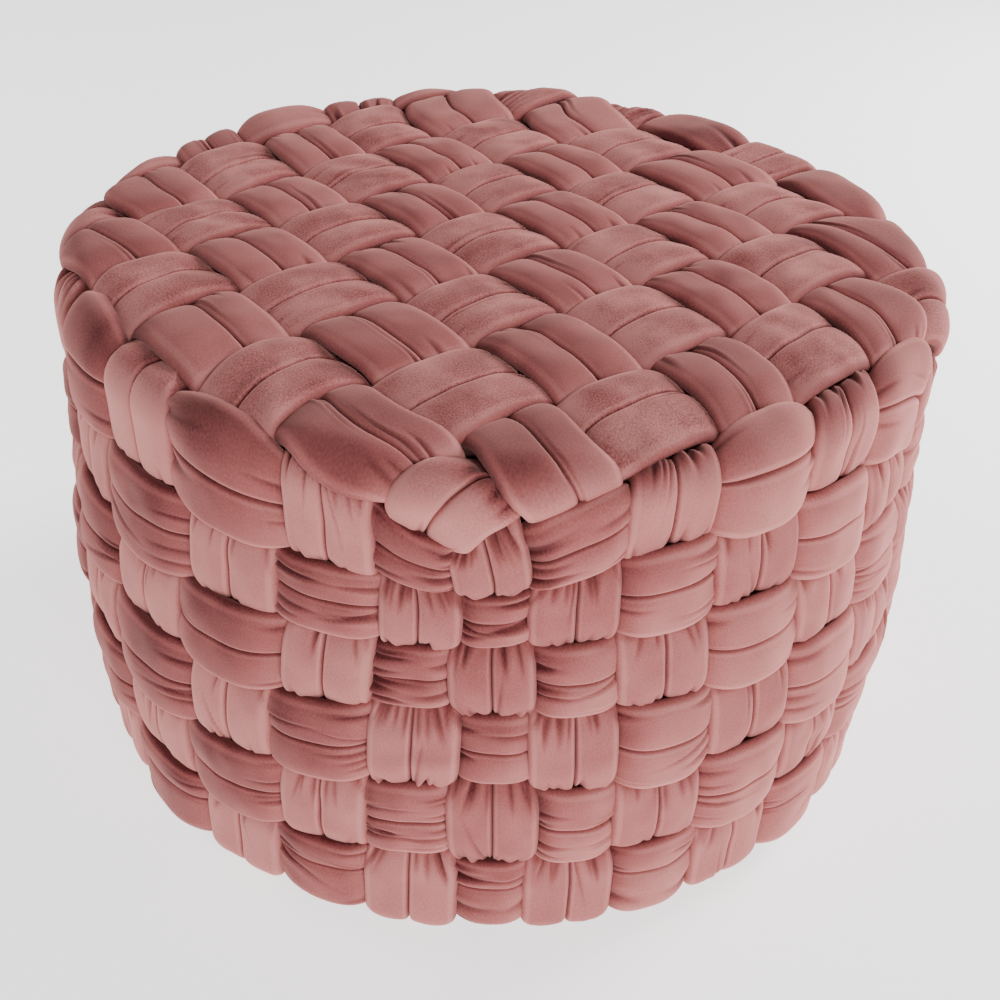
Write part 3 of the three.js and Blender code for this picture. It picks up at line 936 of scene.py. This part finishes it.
def velvet():
    """Brushed polyester velvet: soft and matt, with a pale bloom along its turning edges."""
    material, tree, surface = new_material("brushed_polyester_velvet")
    cloth = add_node(tree, "ShaderNodeUVMap", uv_map="cloth").outputs["UV"]
    tone = add_node(tree, "ShaderNodeAttribute", attribute_name="tone").outputs["Fac"]
    raised = add_node(tree, "ShaderNodeAttribute", attribute_name="raised").outputs["Fac"]
    for grain in (PATCHES, PILE):
        scale = 1 / (grain["size"] * MM)
        inputs = {"Vector": cloth, "Scale": scale, "Detail": grain["detail"]}
        noise = add_node(tree, "ShaderNodeTexNoise", inputs).outputs["Fac"]
        middle = add_node(tree, "ShaderNodeMath", {0: noise, 1: 0.5}, operation="SUBTRACT")
        inputs = {0: raised, 1: grain["raised"], 2: grain["smooth"]}
        share = add_node(tree, "ShaderNodeMath", inputs, operation="MULTIPLY_ADD")
        inputs = {0: middle.outputs["Value"], 1: share.outputs["Value"], 2: tone}
        tone = add_node(tree, "ShaderNodeMath", inputs, operation="MULTIPLY_ADD").outputs["Value"]
    # The tone, with its painted shade and highlights, becomes the colour here.
    ramp = add_node(tree, "ShaderNodeValToRGB", {"Fac": tone})
    ramp.color_ramp.elements[0].color = linear(DEEP_ROSE)
    ramp.color_ramp.elements[1].color = linear(PALE_ROSE)
    ramp.color_ramp.elements.new(DUSTY_TONE).color = linear(DUSTY_ROSE)
    # The noise made last is the pile's own, and stands up from the cloth.
    inputs = {"Height": noise, "Strength": 0.2, "Distance": PILE_HEIGHT * MM}
    bump = add_node(tree, "ShaderNodeBump", inputs)
    set_inputs(tree, surface, {
        "Base Color": ramp.outputs["Color"],
        "Roughness": 0.85,
        "Specular IOR Level": 0.1,
        "Sheen Weight": 0.5,
        "Sheen Roughness": 0.5,
        "Sheen Tint": linear(SHEEN_ROSE),
        "Normal": bump.outputs["Normal"],
    })
    return material


def strand_skin(strand, seed):
    """The closed skin of one strand, the cloth's own coordinates on it, its tone with painted light
    and shade, and where its pile is brushed.
    """
    generator = np.random.default_rng(seed)
    sections = Sections(strand)
    width = section_widths(sections)
    middle = (width[:, 0] - width[:, 1]) / 2
    half = (width[:, 0] + width[:, 1]) / 2
    offsets = half[:, None] * SHARES[None, :]
    places = section_places(sections, middle[:, None] + offsets)
    run = np.cumsum(np.concatenate([[0], np.diff(sections.numbers) * sections.gaps[:-1]]))
    relief, crease = strand_relief(sections, generator, run, offsets, half)
    depth = section_drops(sections)[:, None] + relief
    points = on_pouf(places, np.maximum(depth, 0))
    points[..., 2] = np.maximum(points[..., 2], FLOOR_CLEARANCE)
    reach = reach_of(strand.at(sections.numbers))
    return {
        "points": points * MM,
        "run": run * MM,
        "offsets": offsets * MM,
        "tone": strand_tone(sections, generator, points, reach, crease),
        "raised": brushed_share(strand, reach),
    }


def skin_faces(strand, rows, columns):
    """Four-sided faces between neighbouring sections, and a cap on each end of an open strand."""
    index = np.arange(rows * columns).reshape(rows, columns)
    here = index if strand.closed else index[:-1]
    beyond = np.roll(index, -1, axis=0) if strand.closed else index[1:]
    faces = np.stack([
        here, np.roll(here, -1, axis=1), np.roll(beyond, -1, axis=1), beyond,
    ], axis=-1).reshape(-1, 4)
    caps = [] if strand.closed else [list(index[0]), list(index[-1][::-1])]
    return faces[:, ::-1].tolist() + caps


def make_strand(strand, material, seed):
    """Build one strand's mesh object and hand it to the frame."""
    skin = strand_skin(strand, seed)
    points = skin["points"]
    mesh = bpy.data.meshes.new(f"velvet_{strand.name}")
    mesh.from_pydata(points.reshape(-1, 3).tolist(), [], skin_faces(strand, *points.shape[:2]))
    layer = mesh.uv_layers.new(name="cloth")
    ids = np.zeros(len(mesh.loops), dtype=np.int32)
    mesh.loops.foreach_get("vertex_index", ids)
    cloth = np.stack(np.broadcast_arrays(skin["run"][:, None], skin["offsets"]), axis=-1).reshape(-1, 2)
    layer.data.foreach_set("uv", cloth[ids].astype(np.float32).ravel())
    for name in ("tone", "raised"):
        attribute = mesh.attributes.new(name, "FLOAT", "POINT")
        attribute.data.foreach_set("value", skin[name].astype(np.float32).ravel())
    mesh.polygons.foreach_set("use_smooth", np.ones(len(mesh.polygons), dtype=bool))
    mesh.materials.append(material)
    mesh.update()
    piece = add_object(f"velvet_{strand.name}", mesh)
    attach(piece, "root")
    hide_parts(f"strand_{strand.name}")


cover = velvet()
for group in (across, along, rings):
    for index, strand in enumerate(group):
        make_strand(strand, cover, STRAND_SEEDS[strand.family] + index)

# Inner drum. A firm round cushion in plain grey lining cloth fills the cover. It shows only as
# dark specks between the strands, and as the flat round underside. It is turned from a cylinder:
# its radius follows a curve of the height, drawn in at the foot and full at the middle.
DRUM_DEPTH = 26.0
DRUM_RADIUS = HULL_RADIUS - DRUM_DEPTH + BARREL
DRUM_HEIGHT = HEIGHT - DRUM_DEPTH
BASE_RADIUS = 218.0
BASE_INSET = DRUM_RADIUS - BASE_RADIUS
EDGE_ROUNDING = 6.6
DRUM_SIDES = 128
DRUM_RINGS = 48
DRUM_OUTLINE = [
    {"height": 0.0, "inset": BASE_INSET + 3.0},
    {"height": EDGE_ROUNDING, "inset": BASE_INSET},
    {"height": 40.0, "inset": BASE_INSET},
    {"height": 62.0, "inset": 11.0},
    {"height": 90.0, "inset": 7.0},
    {"height": 160.0, "inset": 0.0},
    {"height": DRUM_HEIGHT - 14.0, "inset": 8.0},
    {"height": DRUM_HEIGHT - EDGE_ROUNDING, "inset": 12.0},
    {"height": DRUM_HEIGHT, "inset": 20.0},
]
DARK_LINING = "#5f5b5b"
PALE_LINING = "#8d8887"
LINING_THREAD = 2.5
LINING_UNEVEN = 0.6
THREAD_HEIGHT = 0.4
WAVE_RADIANS = 20


def lining():
    """Plain woven polyester lining, matt: threads cross in an even weave on the side and on the
    base. They are drawn coarser than the real ones, which are too fine to show."""
    material, tree, surface = new_material("plain_woven_lining")
    place = add_node(tree, "ShaderNodeTexCoord").outputs["Object"]
    scale = 2 * math.pi / (WAVE_RADIANS * LINING_THREAD * MM)
    inputs = {"Vector": place, "Scale": scale, "Distortion": LINING_UNEVEN}
    waves = [
        add_node(tree, "ShaderNodeTexWave", inputs, bands_direction=way).outputs["Fac"] for way in "XYZ"
    ]
    flat = add_node(tree, "ShaderNodeMath", {0: waves[0], 1: waves[1]}, operation="ADD")
    crossed = add_node(tree, "ShaderNodeMath", {0: flat.outputs["Value"], 1: waves[2]}, operation="ADD")
    height = crossed.outputs["Value"]
    share = add_node(tree, "ShaderNodeMath", {0: height, 1: len(waves)}, operation="DIVIDE")
    ramp = add_node(tree, "ShaderNodeValToRGB", {"Fac": share.outputs["Value"]})
    ramp.color_ramp.elements[0].color = linear(DARK_LINING)
    ramp.color_ramp.elements[1].color = linear(PALE_LINING)
    inputs = {"Height": height, "Strength": 0.3, "Distance": THREAD_HEIGHT * MM}
    bump = add_node(tree, "ShaderNodeBump", inputs)
    set_inputs(tree, surface, {
        "Base Color": ramp.outputs["Color"],
        "Roughness": 0.95,
        "Normal": bump.outputs["Normal"],
    })
    return material


def draw_outline(outline):
    """Set a curve node to the drum's radius by height, both as shares of the largest."""
    points = outline.mapping.curves[0].points
    for step in DRUM_OUTLINE:
        at = (step["height"] / DRUM_HEIGHT, 1 - step["inset"] / DRUM_RADIUS)
        if step is DRUM_OUTLINE[0]:
            points[0].location = at
        elif step is DRUM_OUTLINE[-1]:
            points[-1].location = at
        else:
            points.new(*at)
    for point in points:
        point.handle_type = "AUTO_CLAMPED"
    outline.mapping.update()


def drum_tree():
    """Node tree that shapes a cylinder by a curve of its height."""
    tree = bpy.data.node_groups.new("filled_drum", "GeometryNodeTree")
    for name, kind in (("Radius", "Float"), ("Height", "Float"), ("Cloth", "Material")):
        tree.interface.new_socket(name, in_out="INPUT", socket_type=f"NodeSocket{kind}")
    tree.interface.new_socket("Drum", in_out="OUTPUT", socket_type="NodeSocketGeometry")
    sizes = add_node(tree, "NodeGroupInput").outputs
    cylinder = add_node(tree, "GeometryNodeMeshCylinder", {
        "Vertices": DRUM_SIDES,
        "Side Segments": DRUM_RINGS,
        "Radius": sizes["Radius"],
        "Depth": sizes["Height"],
    }).outputs
    place = add_node(tree, "GeometryNodeInputPosition").outputs["Position"]
    level = add_node(tree, "ShaderNodeSeparateXYZ", {"Vector": place}).outputs["Z"]
    share = add_node(tree, "ShaderNodeMath", {0: level, 1: sizes["Height"]}, operation="DIVIDE")
    from_foot = add_node(tree, "ShaderNodeMath", {0: share.outputs["Value"], 1: 0.5}, operation="ADD")
    outline = add_node(tree, "ShaderNodeFloatCurve", {"Value": from_foot.outputs["Value"]})
    draw_outline(outline)
    girth = outline.outputs["Value"]
    scale = add_node(tree, "ShaderNodeCombineXYZ", {"X": girth, "Y": girth, "Z": 1.0}).outputs["Vector"]
    shaped = add_node(tree, "ShaderNodeVectorMath", {0: place, 1: scale}, operation="MULTIPLY")
    half = add_node(tree, "ShaderNodeMath", {0: sizes["Height"], 1: 0.5}, operation="MULTIPLY")
    lift = add_node(tree, "ShaderNodeCombineXYZ", {"Z": half.outputs["Value"]}).outputs["Vector"]
    moved = add_node(tree, "GeometryNodeSetPosition", {
        "Geometry": cylinder["Mesh"],
        "Position": shaped.outputs["Vector"],
        "Offset": lift,
    }).outputs["Geometry"]
    inputs = {"Geometry": moved, "Selection": cylinder["Side"]}
    rounded = add_node(tree, "GeometryNodeSetShadeSmooth", inputs).outputs["Geometry"]
    real = add_node(tree, "GeometryNodeRealizeInstances", {"Geometry": rounded}).outputs["Geometry"]
    clothed = add_node(tree, "GeometryNodeSetMaterial", {"Geometry": real, "Material": sizes["Cloth"]})
    add_node(tree, "NodeGroupOutput", {"Drum": clothed.outputs["Geometry"]})
    return tree


def add_inner_drum():
    """Run the tree once and keep its result as a plain mesh."""
    tree = drum_tree()
    blank = add_object("drum_blank", bpy.data.meshes.new("drum_blank"))
    modifier = blank.modifiers.new("drum", "NODES")
    modifier.node_group = tree
    cloth = lining()
    values = {"Radius": DRUM_RADIUS * MM, "Height": DRUM_HEIGHT * MM, "Cloth": cloth}
    for socket in tree.interface.items_tree:
        if socket.in_out == "INPUT":
            modifier[socket.identifier] = values[socket.name]
    evaluated = blank.evaluated_get(bpy.context.evaluated_depsgraph_get())
    mesh = bpy.data.meshes.new_from_object(evaluated)
    mesh.name = "inner_cushion"
    mesh.materials.clear()
    mesh.materials.append(cloth)
    bpy.data.objects.remove(blank)
    piece = add_object("inner_cushion", mesh)
    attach(piece, "root")
    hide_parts("inner_drum")


add_inner_drum()

# Studio. A plain pale floor under soft light, as for a cut-out photograph. Four square soft
# lights point at the pouf's middle. Sizes here are in metres, and the lights' power in watts.
FLOOR_SIZE = 6.0
FLOOR_HEIGHT = -0.0004
FLOOR_COLOUR = "#f4f3f2"
LIGHT_TARGET = Vector((0, 0, 0.17))
LIGHTS = [
    {"name": "key", "azimuth": -25, "elevation": 26, "distance": 2.4, "size": 1.0, "power": 35},
    {"name": "right_strip", "azimuth": 80, "elevation": 22, "distance": 2.2, "size": 1.0, "power": 80},
    {"name": "left_fill", "azimuth": -150, "elevation": 20, "distance": 2.4, "size": 1.0, "power": 26},
    {"name": "top", "azimuth": 160, "elevation": 80, "distance": 2.4, "size": 1.2, "power": 3},
]


def add_floor():
    """A wide pale floor, which isn't part of the pouf. It gives off light, and so looks even."""
    half = FLOOR_SIZE / 2
    corners = [(-half, -half), (half, -half), (half, half), (-half, half)]
    mesh = bpy.data.meshes.new("floor")
    mesh.from_pydata([(x, y, FLOOR_HEIGHT) for x, y in corners], [], [(0, 1, 2, 3)])
    material, tree, surface = new_material("pale_floor")
    set_inputs(tree, surface, {
        "Base Color": linear(FLOOR_COLOUR),
        "Roughness": 0.9,
        "Emission Color": linear("#ffffff"),
        "Emission Strength": 1.5,
    })
    mesh.materials.append(material)
    floor = add_object("floor", mesh)


def add_light(light):
    """A square soft light that points at the pouf."""
    away = direction(light["azimuth"], light["elevation"])
    data = bpy.data.lights.new(light["name"], "AREA")
    data.size = light["size"]
    data.energy = light["power"]
    lamp = add_object(light["name"], data)
    lamp.location = LIGHT_TARGET + away * light["distance"]
    lamp.rotation_euler = away.to_track_quat("Z", "Y").to_euler()


def add_world():
    """A faint even white light from all round."""
    world = bpy.data.worlds.new("studio")
    world.use_nodes = True
    background = world.node_tree.nodes["Background"]
    set_inputs(world.node_tree, background, {"Color": linear("#ffffff"), "Strength": 0.12})
    bpy.context.scene.world = world


add_floor()
for light in LIGHTS:
    add_light(light)
add_world()
